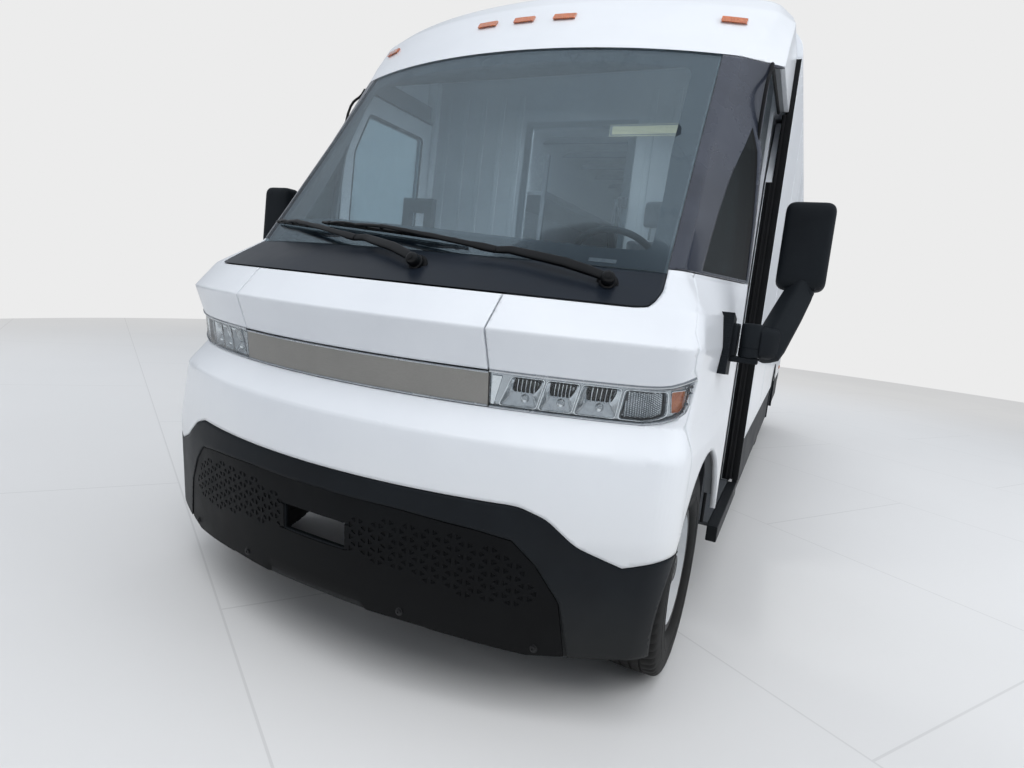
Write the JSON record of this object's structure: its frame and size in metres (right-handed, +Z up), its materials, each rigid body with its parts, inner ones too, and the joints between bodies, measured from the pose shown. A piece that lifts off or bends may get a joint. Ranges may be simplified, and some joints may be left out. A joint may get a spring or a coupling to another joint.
{
  "type": "electric walk-in delivery van",
  "caption": "Long electric walk-in delivery van: faceted nose with a full-width lamp strip, sliding cab doors and a tall box body.",
  "frame": {"origin": "on the ground under the middle of the whole van", "axes": "+Z up, -Y towards the nose, +X to the vehicle's left (driver) side"},
  "size_m": [2.696, 7.3889, 2.7699],
  "materials": {
    "white_paint": "gloss",
    "grey_primer": "satin",
    "black_plastic": "matte",
    "lamp_lens": "clear",
    "satin_strip": "satin",
    "gloss_black": "gloss",
    "clear_glass": "clear",
    "dark_glass": "tinted",
    "red_lens": "gloss",
    "amber_lens": "gloss",
    "grey_floor": "matte",
    "chassis_black": "satin",
    "aluminium_case": "satin",
    "cast_metal": "rough",
    "grey_panel": "satin",
    "dark_trim": "matte",
    "seat_fabric": "woven",
    "wiper_black": "satin",
    "wheel_white": "gloss",
    "tyre_rubber": "matte"
  },
  "bodies": {
    "body": {"body_frame": "grey_primer", "bumper": "black_plastic", "front_panel": "white_paint", "headlamps": "lamp_lens", "light_bar": "satin_strip", "brow_panels": "white_paint", "cowl": "gloss_black", "windscreen": "clear_glass", "fender_left": "white_paint", "fender_right": "white_paint", "pillars": "gloss_black", "quarter_glass": "dark_glass", "cab_roof": "white_paint", "side_left": "white_paint", "side_right": "white_paint", "cargo_roof": "white_paint", "cladding": "black_plastic", "rear_frame": "white_paint", "rear_lamps": "red_lens", "rear_step": "black_plastic", "floor": "grey_floor", "wheel_houses": "black_plastic", "chassis_frame": "chassis_black", "battery_pack": "aluminium_case", "drive_unit": "cast_metal", "front_suspension": "chassis_black", "rear_axle": "chassis_black", "bulkhead": "grey_panel", "shelves": "aluminium_case", "dashboard": "dark_trim", "driver_seat": "seat_fabric", "seat_base": "chassis_black", "jump_seat": "dark_trim", "mirror_bases": "black_plastic", "marker_lamps": "amber_lens"},
    "hood": {"hood": "white_paint"},
    "charge_flap": {"charge_flap": "white_paint"},
    "cab_door_left": {"cab_door_left": "white_paint", "cab_door_glass_left": "dark_glass"},
    "cab_door_right": {"cab_door_right": "white_paint", "cab_door_glass_right": "dark_glass"},
    "rear_door_left": {"rear_door_left": "white_paint"},
    "rear_door_right": {"rear_door_right": "white_paint"},
    "bulkhead_door": {"bulkhead_door": "grey_panel"},
    "knuckle_left": {"knuckle_left": "cast_metal"},
    "knuckle_right": {"knuckle_right": "cast_metal"},
    "steering_wheel": {"steering_wheel": "dark_trim"},
    "mirror_left": {"mirror_left": "black_plastic"},
    "mirror_right": {"mirror_right": "black_plastic"},
    "wiper_left": {"wiper_left": "wiper_black"},
    "wiper_right": {"wiper_right": "wiper_black"},
    "jump_cushion": {"jump_cushion": "seat_fabric"},
    "wheel_front_left": {"rim_front_left": "wheel_white", "tyre_front_left": "tyre_rubber"},
    "wheel_front_right": {"rim_front_right": "wheel_white", "tyre_front_right": "tyre_rubber"},
    "wheel_rear_left": {"rim_rear_left": "wheel_white", "tyre_rear_left": "tyre_rubber"},
    "wheel_rear_right": {"rim_rear_right": "wheel_white", "tyre_rear_right": "tyre_rubber"}
  },
  "joints": [
    {"name": "steer_left", "type": "hinge", "parent": "body", "child": "knuckle_left", "pos_m": [0.845, -2.88, 0.372], "axis": [0, 0, 1], "range_deg": [-35, 35]},
    {"name": "steer_right", "type": "hinge", "parent": "body", "child": "knuckle_right", "pos_m": [-0.845, -2.88, 0.372], "axis": [0, 0, 1], "range_deg": [-35, 35]},
    {"name": "wheel_front_left_spin", "type": "hinge", "parent": "knuckle_left", "child": "wheel_front_left", "pos_m": [0.93, -2.88, 0.372], "axis": [1, 0, 0], "continuous": true},
    {"name": "wheel_rear_left_spin", "type": "hinge", "parent": "body", "child": "wheel_rear_left", "pos_m": [0.93, 1.781, 0.372], "axis": [1, 0, 0], "continuous": true},
    {"name": "wheel_front_right_spin", "type": "hinge", "parent": "knuckle_right", "child": "wheel_front_right", "pos_m": [-0.93, -2.88, 0.372], "axis": [1, 0, 0], "continuous": true},
    {"name": "wheel_rear_right_spin", "type": "hinge", "parent": "body", "child": "wheel_rear_right", "pos_m": [-0.93, 1.781, 0.372], "axis": [1, 0, 0], "continuous": true},
    {"name": "steering_wheel_turn", "type": "hinge", "parent": "body", "child": "steering_wheel", "pos_m": [0.54, -2.465, 1.455], "axis": [0, 0.769, 0.6392], "range_deg": [-490, 490]},
    {"name": "cab_door_left_slide", "type": "slide", "parent": "body", "child": "cab_door_left", "axis": [0, 1, 0], "range_m": [-0.835, 0]},
    {"name": "cab_door_right_slide", "type": "slide", "parent": "body", "child": "cab_door_right", "axis": [0, 1, 0], "range_m": [0, 0.835]},
    {"name": "bulkhead_door_slide", "type": "slide", "parent": "body", "child": "bulkhead_door", "axis": [1, 0, 0], "range_m": [0, 0.645]},
    {"name": "rear_door_left_hinge", "type": "hinge", "parent": "body", "child": "rear_door_left", "pos_m": [1.004, 3.639, 1.6], "axis": [0, 0, -1], "range_deg": [0, 175]},
    {"name": "rear_door_right_hinge", "type": "hinge", "parent": "body", "child": "rear_door_right", "pos_m": [-1.004, 3.639, 1.6], "axis": [0, 0, 1], "range_deg": [0, 175]},
    {"name": "hood_hinge", "type": "hinge", "parent": "body", "child": "hood", "pos_m": [0, -3.568, 1.295], "axis": [-1, 0, 0], "range_deg": [0, 75]},
    {"name": "charge_flap_hinge", "type": "hinge", "parent": "body", "child": "charge_flap", "pos_m": [-1.0695, -2.74, 0.96], "axis": [0.0542, -0.9985, 0], "range_deg": [0, 100]},
    {"name": "mirror_left_fold", "type": "hinge", "parent": "body", "child": "mirror_left", "pos_m": [1.15, -2.845, 1.2], "axis": [0, 0, 1], "range_deg": [-70, 15]},
    {"name": "mirror_right_fold", "type": "hinge", "parent": "body", "child": "mirror_right", "pos_m": [-1.15, -2.845, 1.2], "axis": [0, 0, -1], "range_deg": [-70, 15]},
    {"name": "jump_cushion_fold", "type": "hinge", "parent": "body", "child": "jump_cushion", "pos_m": [-0.76, -2.107, 1.106], "axis": [-1, 0, 0], "range_deg": [0, 85]},
    {"name": "wiper_left_sweep", "type": "hinge", "parent": "body", "child": "wiper_left", "pos_m": [0.75, -3.27925, 1.359], "axis": [-0.2544, 0.8903, -0.3777], "range_deg": [0, 86]},
    {"name": "wiper_right_sweep", "type": "hinge", "parent": "body", "child": "wiper_right", "pos_m": [0.15, -3.432, 1.359], "axis": [-0.0097, 0.9252, -0.3794], "range_deg": [0, 75]}
  ],
  "couplings": [
    {"joint": "steer_right", "follows": "steer_left", "ratio": 1},
    {"joint": "steering_wheel_turn", "follows": "steer_left", "ratio": 14},
    {"joint": "wiper_right_sweep", "follows": "wiper_left_sweep", "ratio": 0.8716}
  ]
}
